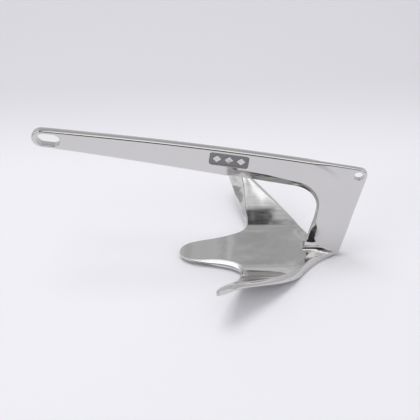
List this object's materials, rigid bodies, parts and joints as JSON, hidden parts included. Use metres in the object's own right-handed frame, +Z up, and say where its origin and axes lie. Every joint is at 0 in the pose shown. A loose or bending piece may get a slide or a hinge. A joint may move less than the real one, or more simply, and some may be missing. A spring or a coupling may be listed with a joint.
{
  "type": "boat anchor",
  "caption": "Claw anchor for a small boat in polished stainless steel: a flat slotted shank joined to a scooped claw with a centre fluke and upturned side wings.",
  "frame": {"origin": "on the ground under the middle of the anchor's overall length, in the plane of the shank", "axes": "+X aft, from the shackle slot towards the heel and the trip hole; +Y to starboard; +Z up from the ground the claw stands on"},
  "size_m": [0.3466, 0.2256, 0.179],
  "materials": {
    "polished_steel": "mirror-polished stainless steel with faint polishing lines and a matt cast floor in the marking panel",
    "weld_steel": "weld bead ground back and polished"
  },
  "bodies": {
    "root": {"shank": "polished_steel", "claw": "polished_steel", "weld_port": "weld_steel", "weld_starboard": "weld_steel", "weld_front": "weld_steel"}
  },
  "joints": []
}
